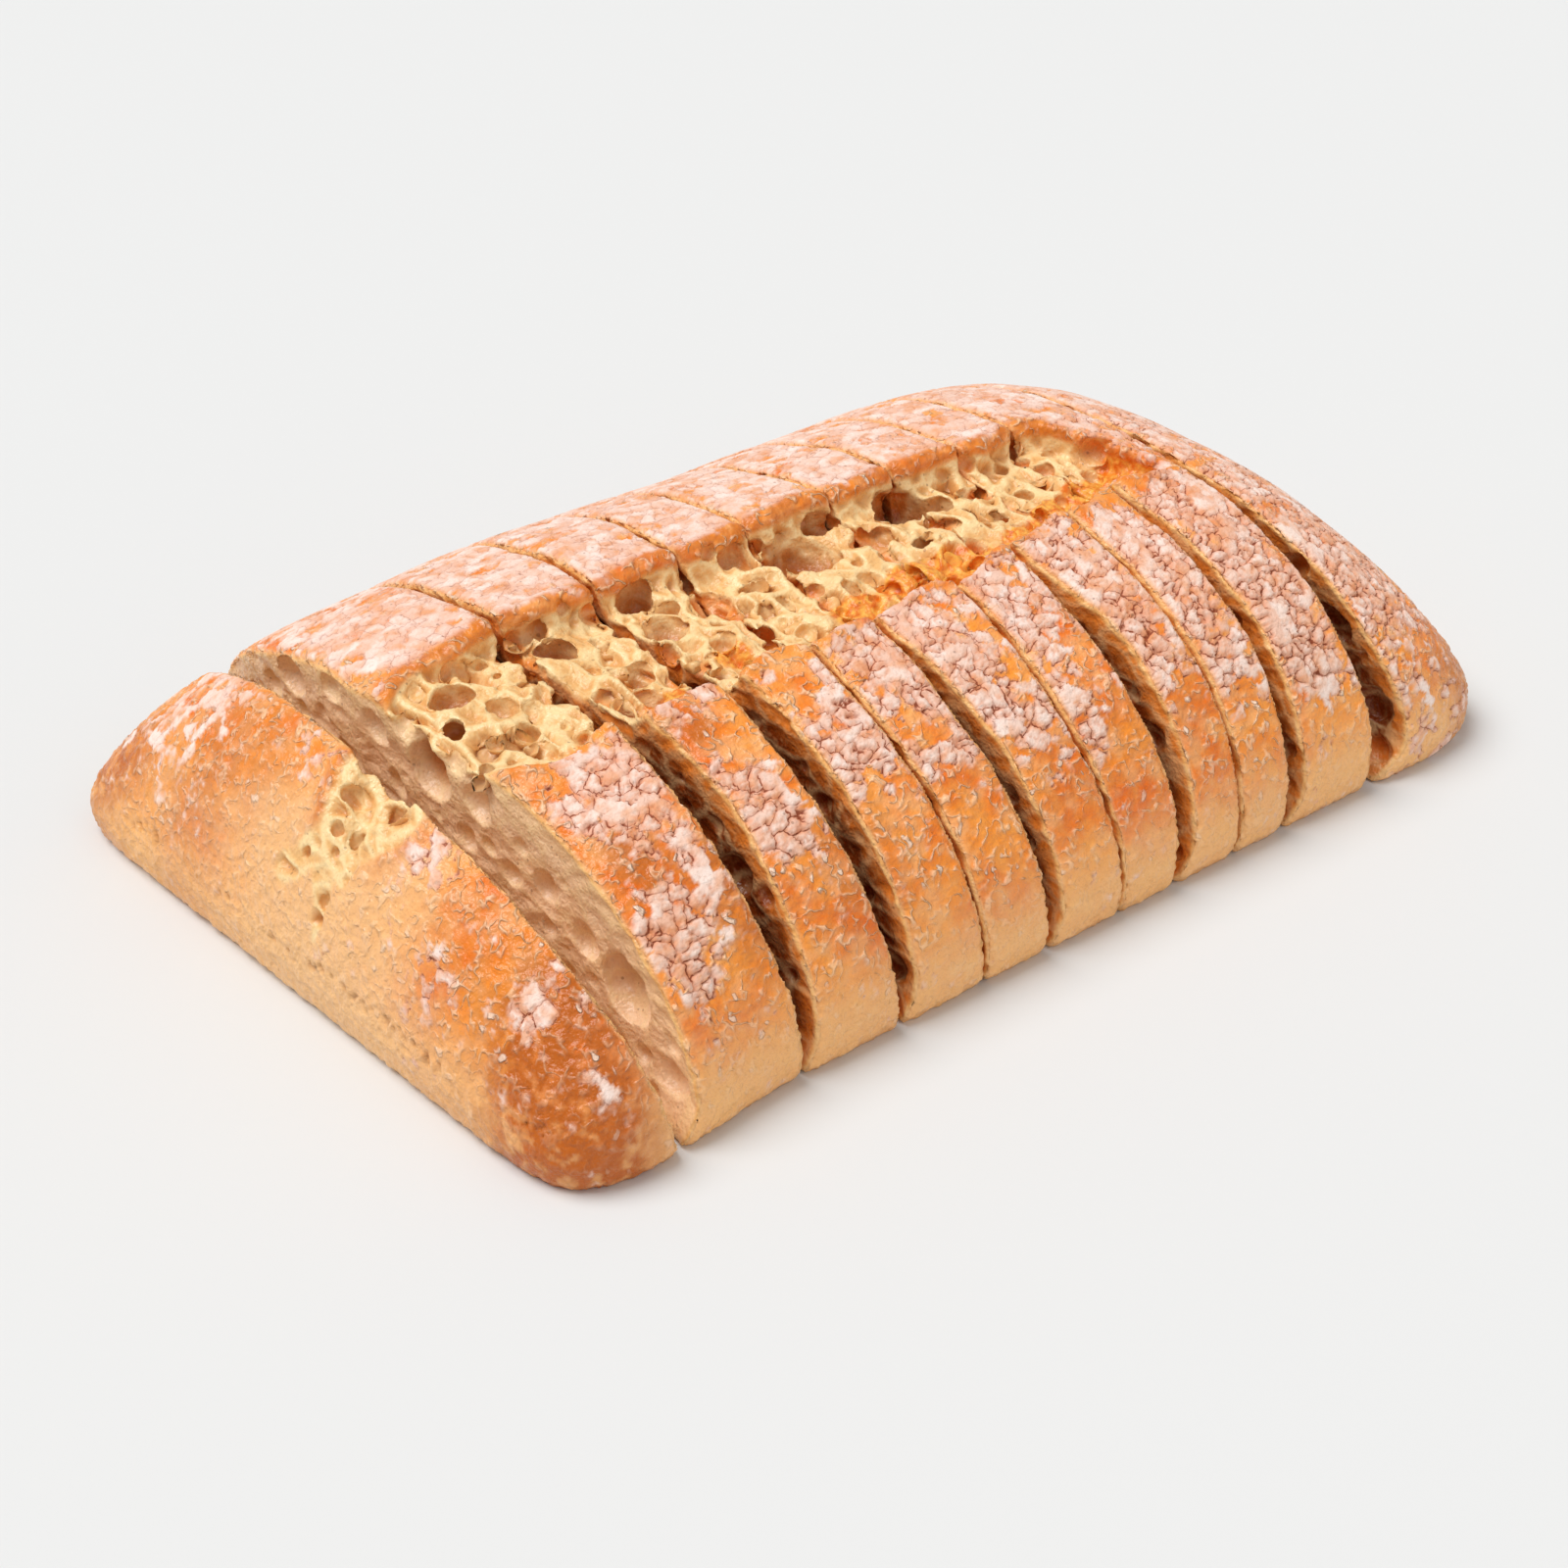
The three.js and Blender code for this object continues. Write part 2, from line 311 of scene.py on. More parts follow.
def mesh_object(name, bm):
    mesh = bpy.data.meshes.new(name)
    bm.to_mesh(mesh)
    bm.free()
    return linked(name, mesh)


def loaf_skin():
    bm = bmesh.new()
    bmesh.ops.create_grid(bm, x_segments=GRID_X, y_segments=GRID_Y, size=1)
    for vertex in bm.verts:
        i = round((vertex.co.x + 1) / 2 * GRID_X)
        j = round((vertex.co.y + 1) / 2 * GRID_Y)
        vertex.co = skin_place(i, j)
    border = [edge for edge in bm.edges if edge.is_boundary]
    bmesh.ops.contextual_create(bm, geom=border)
    bmesh.ops.remove_doubles(bm, verts=bm.verts, dist=0.01)
    bmesh.ops.triangulate(bm, faces=bm.faces)
    bmesh.ops.recalc_face_normals(bm, faces=bm.faces)
    open_edges = sum(not edge.is_manifold for edge in bm.edges)
    print("skin:", len(bm.verts), "vertices,", open_edges, "open edges")
    return mesh_object("loaf_skin", bm)


loaf = loaf_skin()
corners = np.array([vertex.co for vertex in loaf.data.vertices])
skin_low, skin_high = corners.min(0), corners.max(0)
print("skin from", skin_low.round(1), "to", skin_high.round(1), "mm")

# %% [markdown]
# ## Maps painted on the skin
# Flour, browning and the torn slash follow how this loaf was dusted, scored and baked. They could
# be painted by hand, but a script can't keep that. So each is a number from 0 to 1 at every vertex
# of the skin, built from a few patches with a place and a size. The finished pieces look it up at
# the nearest spot of the skin, for their relief and their colour.

# %% Patches of flour and of browning
# x, y of the middle, half width along x, half width along y, strength
FLOUR_PATCHES = [
    (-79, -40, 10, 11, 1.0), (-77, -58, 5, 8, 0.8), (-87, -68, 6, 7, 1.0), (-61, -50, 5, 4, 0.6),
    (-57, -58, 7, 8, 0.9), (-56, -32, 7, 4, 0.6), (-40, -34, 2, 2, 0.8), (-33, -50, 9, 9, 0.85),
    (-42, -57, 6, 7, 0.7), (-17, -39, 9, 8, 1.0), (-25, -60, 4, 4, 0.9), (-14, -55, 7, 9, 0.7),
    (-5, -39, 10, 9, 0.95), (-3, -50, 8, 8, 0.85), (-1, -61, 5, 5, 0.9), (16, -37, 9, 9, 0.9),
    (13, -52, 8, 9, 0.7), (10, -66, 7, 8, 0.5), (36, -38, 9, 16, 0.95), (36, -58, 8, 11, 0.85),
    (54, -41, 10, 15, 0.95), (53, -60, 9, 10, 0.85), (76, -33, 12, 14, 1.0), (73, -54, 12, 15, 0.95),
    (73, -68, 11, 8, 0.85), (97, -52, 12, 13, 0.85), (102, -66, 11, 7, 0.7), (104, 0, 14, 80, 0.85),
    (-106, 46, 7, 15, 0.5), (-118, 55, 8, 16, 0.42), (-110, 12, 4, 6, 0.5), (-108, -28, 6, 7, 0.5),
    (-105, -66, 5, 7, 0.42), (-113, -64, 4, 5, 0.36), (-110, -78, 4, 4, 0.3), (-120, -42, 4, 5, 0.4),
]
TOAST_PATCHES = [
    (-117, -80, 12, 12, 1.0), (-114, -68, 10, 11, 0.9), (-126, 36, 7, 11, 0.3), (-106, -72, 8, 8, 0.6),
    (-117, -49, 10, 13, 0.2), (-85, -55, 5, 9, 0.6), (-73, -65, 6, 8, 0.5), (-70, -66, 7, 10, 0.4),
    (-61, -38, 5, 5, 0.6), (-47, -68, 8, 9, 0.45), (27, -42, 3, 8, 0.6), (-126, 68, 7, 13, 0.7),
    (118, -76, 10, 8, 0.5), (-115, 30, 8, 16, 0.35), (20, -68, 30, 7, 0.25),
]
EAR_PATCHES = [
    (-55, -25, 6, 4.5, 1.0), (-36, -19, 4, 4, 0.9), (-7, -22, 6, 5, 0.9), (10, -21, 9, 6.5, 1.0),
    (24, -21, 8, 6.5, 1.0), (41, -20, 7, 5, 0.8), (52, -16, 6, 5, 0.9), (66, -14, 8, 6.5, 1.0),
    (-79, -28, 4, 2, 0.6), (79, -12, 6, 9, 1.0), (70, -17, 5, 4, 0.8),
]
PALE_PATCHES = [
    (-118, -25, 9, 12, 0.8), (-124, -8, 7, 16, 1.0), (-122, 8, 6, 14, 0.8), (-126, 0, 4, 60, 0.5),
]
# where the slash tears on as a star into the left heel, and the browned lips beside that tear
TEAR_PATCHES = [
    (-107, -9, 6, 10, 1.0), (-111, -10, 5, 9.5, 1.0), (-115, -8.5, 4, 7, 1.0), (-119, -7, 3, 4.2, 0.95),
    (-121.5, -7, 2.6, 2.0, 0.9), (-122, -0.5, 2.5, 2.6, 0.75), (-124.3, 3.5, 1.6, 2.6, 0.7),
    (-124.5, -9.3, 2.4, 1.5, 0.8), (-119.8, -12.5, 2.0, 1.6, 0.7),
]
LIP_PATCHES = [
    (-109, 4.0, 3.4, 2.0, 1.0), (-113, 2.2, 3.0, 1.9, 1.0), (-116.5, 0.3, 2.4, 1.7, 0.95),
    (-111, -21.5, 3.4, 1.6, 0.7), (-115, -18.5, 2.6, 1.5, 0.6),
]
MAPS = ["torn", "edge", "ear", "flour", "toast", "pale"]
print(len(FLOUR_PATCHES), "flour patches,", len(TOAST_PATCHES), "browned ones")

# %% Paint the maps
# where a patch ends, and how its strength falls
PATCH_REACH = 6
PATCH_CURVE = 1.5
PATCH_FALL = 0.7
STRIP_STRENGTH = 0.82


def patched(x, y, patches):
    rest = 1.0
    for middle_x, middle_y, half_x, half_y, strength in patches:
        far = ((x - middle_x) / half_x) ** 2 + ((y - middle_y) / half_y) ** 2
        if far < PATCH_REACH:
            rest *= 1 - strength * math.exp(-(far ** PATCH_CURVE) * PATCH_FALL)
    return 1 - rest


def back_strip(x, y):
    back = lips(x)[1]
    behind = smoothstep(back - 1, back + 2, y) * smoothstep(-108, -92, x)
    towards_board = 1 - 0.45 * smoothstep(40, 74, y)
    towards_end = 1 - 0.7 * smoothstep(112, 124, x)
    return STRIP_STRENGTH * behind * towards_board * towards_end


def browned_lips(x, y, along):
    front, back = lips(x)
    both = along * max(bump(y, back - 0.5, 2.0), 0.35 * bump(y, front + 0.5, 1.2))
    return max(both * smoothstep(-110, -98, x), patched(x, y, LIP_PATCHES))


def skin_maps(x, y):
    along = smoothstep(-122, -108, x) * smoothstep(SCORE_RIGHT + 2, SCORE_RIGHT - 6, x)
    torn = max(torn_share(x, y), patched(x, y, TEAR_PATCHES))
    edge = browned_lips(x, y, along)
    ear = along * patched(x, y, EAR_PATCHES)
    flour = max(patched(x, y, FLOUR_PATCHES), back_strip(x, y))
    return torn, edge, ear, flour, patched(x, y, TOAST_PATCHES), patched(x, y, PALE_PATCHES)


def paint_maps(skin):
    painted = np.array([skin_maps(vertex.co.x, vertex.co.y) for vertex in skin.data.vertices])
    for start in range(0, len(MAPS), 3):
        names = MAPS[start:start + 3]
        layer = skin.data.attributes.new("maps_" + "_".join(names), "FLOAT_VECTOR", "POINT")
        layer.data.foreach_set("vector", painted[:, start:start + 3].ravel())
        print("maps", names, "means", painted[:, start:start + 3].mean(0).round(2))


paint_maps(loaf)

# %% [markdown]
# ## Air holes
# Ciabatta dough is so wet that its gas gathers in large, glossy holes. Where the slash tore open they
# show as bowls with thin round rims, and where the knife went through as shallow cut bubbles. A
# bump could only shade them, so each is a squashed icosphere. The large ones stand where they stand
# in this loaf, and smaller ones are thrown in between them, the largest first, as far apart as a
# wall of crumb is thick. A voxel remesh melts them into one skin that a boolean can take away.

# %% The holes that have a place of their own
# x, y, half width along x, half width along y, how deep its middle lies as a share of its size
TORN_HOLES = [
    (-88, 0, 4.6, 4.0, 0.3), (-82, -8, 2.6, 3.2, 0.3), (-77, 7, 1.7, 1.5, 0.4), (-72, 7, 1.8, 1.4, 0.4),
    (-65.5, 8.5, 4.2, 1.9, 0.5), (-63, 2, 4.2, 4.6, 0.5), (-56, 9.5, 1.9, 1.5, 0.5),
    (-50.5, 8, 2.6, 2.2, 0.4), (-54, -13, 2.8, 3.6, 0.3), (-57.5, -10, 1.3, 2.8, 0.3),
    (-40, 8.5, 5.2, 3.2, 0.6), (-41, -4, 4.6, 4.2, 0.1), (-36, 2, 3.2, 2.0, 0.4),
    (-31, -8.5, 1.8, 2.2, 0.4), (-27, 0, 3.8, 4.8, 0.2), (-28, 6.5, 1.9, 1.2, 0.4),
    (-21, 9, 2.6, 1.5, 0.5), (-15.5, 8.5, 3.6, 2.6, 0.5), (-9.5, 8, 2.0, 1.4, 0.5),
    (-3, 1, 9.0, 7.0, 0.0), (-4.5, 0.5, 4.0, 2.6, 2.0), (7, 8, 5.2, 3.0, 0.6), (26, 5, 8.0, 6.6, 0.35),
    (33, 1.5, 4.6, 3.4, 0.2), (41, 8.5, 1.8, 1.3, 0.4), (44, 0, 4.2, 3.4, 0.2), (53, 4, 1.5, 1.3, 0.4),
    (53, -5, 2.2, 2.6, 0.3), (60, -4.5, 1.6, 1.6, 0.4), (62.5, 6, 2.2, 1.6, 0.5), (64, 0.5, 2.4, 2.0, 0.4),
    (71, -7, 2.6, 2.4, 0.3), (75.5, -3, 4.6, 2.6, 0.5), (12, -3, 4.6, 3.6, 0.1), (-70, -12, 3.4, 3.0, 0.2),
    (-112, -3, 1.9, 3.4, 0.6), (-117, -5, 1.5, 2.0, 0.7), (-124.5, -9.3, 2.0, 1.0, 0.5),
    (-105, -8, 3.0, 4.0, 0.2), (-121.5, -0.5, 2.0, 1.0, 0.5), (-119.5, -7.5, 1.1, 1.3, 0.6),
    (-107, 0, 1.5, 1.6, 0.4), (-109, -13, 1.6, 2.2, 0.2), (-124, 3.5, 1.0, 1.4, 0.5),
]
# y, z and half size of holes on the two cut faces that show
LEFT_FACE_HOLES = [
    (11, 42, 4.0), (-6, 40, 6.5), (-2, 45, 3.0), (52, 32, 3.0), (43, 38, 4.5), (-62, 21, 7.0),
    (-39, 31, 3.5), (-50, 25, 4.0), (-76, 10, 3.5), (-20, 40, 3.5), (27, 43, 3.0), (62, 24, 3.0),
]
RIGHT_FACE_HOLES = [(-60, 27, 5.2), (-50, 38, 3.0), (-73, 13, 5.0), (-76, 5, 4.0), (-57, 14, 4.0)]
print(len(TORN_HOLES), "holes of the slash have a place of their own")

# %% Throw bubbles into the torn slash
TORN_THROWS = 1500
TORN_SIZES = (2.9, 0.8)
# below 1, the sizes fall sooner from the largest to the smallest
TORN_SIZE_CURVE = 0.35
WALL_OF_CRUMB = 0.9


def trough_floor(x, y):
    s = max(-END_SHARE, min(END_SHARE, x / (LEFT_LENGTH if x < 0 else RIGHT_LENGTH)))
    return top_height(s, y)


def walled_off(x, y, half_x, half_y, bubbles):
    return all(
        math.hypot((x - other[0]) / (half_x + other[3] + WALL_OF_CRUMB),
                   (y - other[1]) / (half_y + other[4] + WALL_OF_CRUMB)) > 1
        for other in bubbles
    )


def torn_bubbles(chance):
    bubbles = []
    for x, y, half_x, half_y, sink in TORN_HOLES:
        deep = 0.5 * (half_x + half_y)
        bubbles.append((x, y, trough_floor(x, y) - sink * deep, half_x, half_y, deep))
    for throw in range(TORN_THROWS):
        size = mix(*TORN_SIZES, (throw / TORN_THROWS) ** TORN_SIZE_CURVE)
        x = chance.uniform(SCORE_LEFT, SCORE_RIGHT)
        front, back = lips(x)
        y = chance.uniform(front + 2 + size, back - 0.5 - 0.7 * size)
        half_x = size * chance.uniform(0.7, 1.2)
        half_y = size * chance.uniform(0.9, 1.5)
        if walled_off(x, y, half_x, half_y, bubbles) and torn_share(x, y) > 0.5:
            sink = chance.uniform(0.1, 0.7) * size
            bubbles.append((x, y, trough_floor(x, y) - sink, half_x, half_y, size))
    return bubbles


chance = random.Random(7)
holes = torn_bubbles(chance)
print(len(holes), "holes in the torn slash")

# %% Throw bubbles onto the cut faces
FACE_THROWS = 260
FACE_SIZES = (4.2, 0.9)
FACE_SIZE_CURVE = 0.4
FACE_Y = (-79, 77)
FACE_Z = (4, 52)
FACE_HALF_WIDTH = 82
FACE_WALL = 0.8
CRUST_OVER_BUBBLE = 3
LAST_CUT = len(CUTS) - 1


def face_spots(cut, spots, chance):
    for throw in range(FACE_THROWS):
        size = mix(*FACE_SIZES, (throw / FACE_THROWS) ** FACE_SIZE_CURVE)
        y, z = chance.uniform(*FACE_Y), chance.uniform(*FACE_Z)
        roof = trough_floor(cut["at"] + cut["lean"] * z, y)
        over = min(roof - z, FACE_HALF_WIDTH - abs(y)) - size
        apart = all(math.hypot(y - other[0], z - other[1]) > size + other[2] + FACE_WALL
                    for other in spots)
        if over > CRUST_OVER_BUBBLE and apart:
            spots.append((y, z, size))
    return spots


def face_bubbles(chance):
    bubbles = []
    placed = {(0, 1): LEFT_FACE_HOLES, (LAST_CUT, 1): RIGHT_FACE_HOLES}
    for index, cut in enumerate(CUTS):
        for side in (0, 1):
            for y, z, size in face_spots(cut, list(placed.get((index, side), [])), chance):
                x = cut["at"] + cut["lean"] * z + side * knife_gap(cut, y, z)
                bubbles.append((x, y, z, 0.75 * size, size * chance.uniform(1.0, 1.4), size))
    return bubbles


holes += face_bubbles(chance)
print(len(holes), "holes with those on the cut faces")

# %% Blow them up and melt them into one
AIR_VOXEL = 0.5
MOST_TURN = (0.3, 0.3, 0.5)


def blow_bubbles(bubbles, chance):
    bm = bmesh.new()
    bmesh.ops.create_icosphere(bm, subdivisions=2, radius=1)
    ball = bpy.data.meshes.new("ball")
    bm.to_mesh(ball)
    bm.clear()
    for x, y, z, half_x, half_y, half_z in bubbles:
        turn = Euler([chance.uniform(-most, most) for most in MOST_TURN])
        place = Matrix.Translation((x, y, z)) @ turn.to_matrix().to_4x4()
        blown = ball.copy()
        blown.transform(place @ Matrix.Diagonal((half_x, half_y, half_z, 1)))
        bm.from_mesh(blown)
        bpy.data.meshes.remove(blown)
    return mesh_object("air", bm)


# the mesh that the modifiers made takes the place of the plain one
def settle(thing):
    depsgraph = bpy.context.evaluated_depsgraph_get()
    depsgraph.update()
    made = bpy.data.meshes.new_from_object(thing.evaluated_get(depsgraph))
    thing.modifiers.clear()
    thing.data = made


def melt(thing, voxel):
    remesh = thing.modifiers.new("melt", "REMESH")
    remesh.mode = "VOXEL"
    remesh.use_smooth_shade = True
    remesh.voxel_size = voxel
    settle(thing)


def combine(thing, tool, operation):
    boolean = thing.modifiers.new("combine", "BOOLEAN")
    boolean.operation = operation
    boolean.solver = "MANIFOLD"
    boolean.object = tool
    settle(thing)


air = blow_bubbles(holes, chance)
melt(air, AIR_VOXEL)
crumb = linked("crumb", loaf.data.copy())
combine(crumb, air, "DIFFERENCE")
print("the holed loaf has", len(crumb.data.vertices), "vertices")

# %% [markdown]
# ## The knife
# A bread knife saws, so its cuts waver by a few tenths of a millimetre, and it tears small teeth
# out of the crust near the board. bisect_plane would cut quite straight. So each piece is what the
# holed loaf shares with a block between two cuts. The block is a bmesh cube whose long edges are
# subdivided, and its two broad sides take the shape of the two cuts. Both sides of a closed cut
# waver alike, so they fit each other.

# %% A block between two cuts
FAR_END = 150.0
BLOCK_Y = (-92.0, 88.0)
BLOCK_Z = (-6.0, 70.0)
BLOCK_ROWS = 150
BLOCK_LAYERS = 64
WAVER = 0.35
SHORT_WAVE = 5
LONG_WAVE = 23
TOOTH_HEIGHT = 2.6
TOOTH_DEPTH = 1.6
TOOTH_SHIFT = 0.8


def knife_waver(index, y, z):
    short = WAVER * noise.noise(Vector((y / SHORT_WAVE, z / SHORT_WAVE, 9.1 * index)))
    return short + 2 * WAVER * noise.noise(Vector((y / LONG_WAVE, z / LONG_WAVE, 4.7 * index)))


def knife_place(index, side, y, z):
    cut = CUTS[index]
    gap = knife_gap(cut, y, z)
    x = cut["at"] + cut["lean"] * z + gap * side + knife_waver(index, y, z)
    if side == 0:
        shifted = z + TOOTH_SHIFT * noise.noise(Vector((z / 3, index, 0)))
        tooth = abs((shifted / TOOTH_HEIGHT) % 1 - 0.5)
        low_front = smoothstep(30, 16, z) * smoothstep(-60, -72, y)
        x += min(TOOTH_DEPTH, 0.7 * gap) * tooth * low_front
    return x


def parallel_edges(bm, axis):
    others = [a for a in range(3) if a != axis]
    found = []
    for edge in bm.edges:
        run = edge.verts[0].co - edge.verts[1].co
        if abs(run[axis]) > 1e-6 and all(abs(run[a]) < 1e-6 for a in others):
            found.append(edge)
    return found


def block_between(index):
    bm = bmesh.new()
    bmesh.ops.create_cube(bm, size=1)
    for axis, cuts in ((1, BLOCK_ROWS), (2, BLOCK_LAYERS)):
        edges = parallel_edges(bm, axis)
        bmesh.ops.subdivide_edges(bm, edges=edges, cuts=cuts, use_grid_fill=True)
    for vertex in bm.verts:
        y = mix(*BLOCK_Y, vertex.co.y + 0.5)
        z = mix(*BLOCK_Z, vertex.co.z + 0.5)
        if vertex.co.x < 0:
            x = knife_place(index - 1, 1, y, z) if index > 0 else -FAR_END
        else:
            x = knife_place(index, 0, y, z) if index < len(CUTS) else FAR_END
        vertex.co = (x, y, z)
    bmesh.ops.recalc_face_normals(bm, faces=bm.faces)
    return mesh_object(NODES[index] + "_bread", bm)


pieces = [block_between(index) for index in range(len(NODES))]
print(len(pieces), "blocks")

# %% [markdown]
# ## One small language for nodes
# Relief and colour come from the same patterns, so both node trees are written the same way. Nodes
# could be placed by hand, but arithmetic reads better as arithmetic. A `Wire` holds a socket, and
# an expression on it adds Math nodes. A `Net` adds any other node.

# %% A wire does arithmetic
class Wire:
    def __init__(self, net, socket):
        self.net = net
        self.socket = socket

    def math(self, operation, *values):
        return self.net.node("ShaderNodeMath", {"operation": operation}, dict(enumerate(values)))

    def __add__(self, other):
        return self.math("ADD", self, other)

    def __sub__(self, other):
        return self.math("SUBTRACT", self, other)

    def __rsub__(self, other):
        return self.math("SUBTRACT", other, self)

    def __mul__(self, other):
        return self.math("MULTIPLY", self, other)

    __radd__ = __add__
    __rmul__ = __mul__

    def least(self, other):
        return self.math("MINIMUM", self, other)

    def most(self, other):
        return self.math("MAXIMUM", self, other)

    def away(self):
        return self.math("ABSOLUTE", self)

    def ramp(self, start, end):
        values = {"Value": self, "From Min": start, "From Max": end}
        settings = {"interpolation_type": "SMOOTHSTEP"}
        return self.net.node("ShaderNodeMapRange", settings, values, "Result")


print("wires ready")


# %% A net adds the other nodes
class Net:
    def __init__(self, tree):
        self.tree = tree
        self.tree.nodes.clear()

    def node(self, kind, settings=None, values=None, output=0):
        made = self.tree.nodes.new(kind)
        for name, value in (settings or {}).items():
            setattr(made, name, value)
        for name, value in (values or {}).items():
            if isinstance(value, Wire):
                self.tree.links.new(value.socket, made.inputs[name])
            else:
                made.inputs[name].default_value = value
        return Wire(self, made.outputs[output]) if made.outputs else None

    def vector(self, operation, first, second):
        return self.node("ShaderNodeVectorMath", {"operation": operation}, {0: first, 1: second})

    def scaled(self, vector, amount):
        values = {0: vector, "Scale": amount}
        return self.node("ShaderNodeVectorMath", {"operation": "SCALE"}, values)

    def split(self, vector):
        parts = self.node("ShaderNodeSeparateXYZ", None, {0: vector}).socket.node.outputs
        return [Wire(self, part) for part in parts]

    def join(self, x, y, z):
        return self.node("ShaderNodeCombineXYZ", None, {0: x, 1: y, 2: z})

    def clouds(self, place, size, detail=2.0):
        values = {"Vector": place, "Scale": 1 / size, "Detail": detail}
        return self.node("ShaderNodeTexNoise", None, values)

    def swirl(self, place, size, amount):
        values = {"Vector": place, "Scale": 1 / size, "Detail": 1.0}
        noisy = self.node("ShaderNodeTexNoise", None, values, "Color")
        centred = self.vector("SUBTRACT", noisy, (0.5, 0.5, 0.5))
        return self.vector("ADD", place, self.scaled(centred, 2 * amount))

    def plates(self, place, size):
        values = {"Vector": place, "Scale": 1 / size}
        return self.node("ShaderNodeTexVoronoi", {"feature": "DISTANCE_TO_EDGE"}, values)

    def spot_and_value(self, place, size):
        values = {"Vector": place, "Scale": 1 / size}
        cells = self.node("ShaderNodeTexVoronoi", {"feature": "F1"}, values).socket.node.outputs
        return Wire(self, cells["Distance"]), self.split(Wire(self, cells["Color"]))[0]

    def cell_value(self, place, size):
        return self.spot_and_value(place, size)[1]


print("nets ready")

# %% [markdown]
# ## Patterns of the crust and the crumb
# Dusted flour dries into a thin shell that cracks into plates as the loaf swells. Where it is thinner
# it stays as worm-like films. Torn crumb is a net of walls around bowls. A picture could show this,
# but it would stretch over a carved loaf. So each pattern takes a place in millimetres and gives a
# number, and the same one can lift the surface and colour it.

# %% Patterns
PLATE_SIZE = 3.5
SMALL_PLATE = 2.0
# small plates count as this much farther from their edge
SMALL_PLATE_HANDICAP = 0.05
WORM_SIZE = 2.9
WORM_WIDTH = 0.075
WEB_SIZE = 6.0
SMALL_WEB = 3.0


def flour_plates(net, loose):
    small = net.plates(loose, SMALL_PLATE) + SMALL_PLATE_HANDICAP
    return net.plates(loose, PLATE_SIZE).least(small)


def worms(net, curled):
    return (net.clouds(curled, WORM_SIZE, 1.0) - 0.5).away().ramp(WORM_WIDTH, 0.0)


def webs(net, place):
    drawn = net.swirl(net.vector("MULTIPLY", place, (1.0, 0.6, 1.0)), 6.0, 2.4)
    wide = net.plates(drawn, WEB_SIZE)
    inner = net.swirl(drawn, 3.0, 0.8)
    small = net.plates(inner, SMALL_WEB)
    bowl = wide.ramp(0.04, 0.38) * (0.2 + 0.8 * net.cell_value(drawn, WEB_SIZE))
    dimple = small.ramp(0.03, 0.36) * net.cell_value(inner, SMALL_WEB)
    # wall marks the thin walls between bowls, which the colour lightens with a painted highlight
    wall = wide.ramp(0.11, 0.03).most(small.ramp(0.10, 0.03) * 0.5)
    return bowl, dimple, wall


print("plates of", PLATE_SIZE, "and", SMALL_PLATE, "mm, webs of", WEB_SIZE, "and", SMALL_WEB, "mm")

# %% [markdown]
# ## What is known at a vertex
# A Geometry Nodes modifier will finish each piece, because it can measure each vertex: how far it
# lies from the loaf's skin and from the knife's cuts, and what the maps say at the nearest spot of
# the skin. Vertex groups could hold this, but a remesh drops them. All that is measured goes into
# one bundle, `at`, which relief and colour share.

# %% Measure the vertex
# how soft flour edges drift, and how films curl: the size of a swirl and how far it carries
DRIFT = ((6.0, 2.2), (1.6, 0.75))
CURL = (3.2, 1.3)
CRUST_THICKNESS = 0.8


def object_shape(net, thing):
    settings = {"transform_space": "ORIGINAL"}
    return net.node("GeometryNodeObjectInfo", settings, {"Object": thing}, "Geometry")


def distance_to(net, shape, place):
    values = {0: shape, "Sample Position": place}
    return net.node("GeometryNodeProximity", None, values, "Distance")


def painted_maps(net, skin, place):
    maps = {}
    kind = {"data_type": "FLOAT_VECTOR"}
    for start in range(0, len(MAPS), 3):
        names = MAPS[start:start + 3]
        values = {"Name": "maps_" + "_".join(names)}
        value = net.node("GeometryNodeInputNamedAttribute", kind, values, "Attribute")
        values = {"Mesh": skin, "Value": value, "Sample Position": place}
        three = net.node("GeometryNodeSampleNearestSurface", kind, values, "Value")
        maps |= dict(zip(names, net.split(three)))
    return maps


def measured(net, knife):
    place = net.node("GeometryNodeInputPosition")
    skin = object_shape(net, loaf)
    at = SimpleNamespace(place=place, **painted_maps(net, skin, place))
    at.depth = distance_to(net, skin, place)
    at.from_knife = distance_to(net, object_shape(net, knife), place)
    at.x, at.y, at.height = net.split(place)
    at.loose = net.swirl(net.swirl(place, *DRIFT[0]), *DRIFT[1])
    at.curled = net.swirl(place, *CURL)
    at.on_skin = at.torn.ramp(0.5, 0.25)
    at.crust = at.depth.ramp(0.75, 0.35) * at.on_skin
    at.low = at.height.ramp(25, 7)
    at.mottled = net.clouds(net.swirl(place, 5.0, 2.0), 3.4, 3)
    at.bowl, at.dimple, at.wall = webs(net, place)
    return at


print("maps at a vertex:", ", ".join(MAPS))


# %% The flour film and the crease of the heel
def add_flour(net, at):
    chosen = net.cell_value(at.loose, PLATE_SIZE) - 0.5
    ragged = net.clouds(at.place, 1.8, 3.0) - 0.5
    cover = (at.flour + chosen * 0.8 + ragged * 0.7).ramp(0.38, 0.56)
    at.cover = cover * at.from_knife.ramp(0.2, 1.1)
    at.plates = flour_plates(net, at.loose)
    at.cracking = net.clouds(at.place, 6.0, 2.0).ramp(0.36, 0.50) * (0.35 + 0.65 * at.y.ramp(20, 0))


# a faint fold runs round the left end, about this high
CREASE_HEIGHT = 12.0
CREASE_WANDER = 12.0


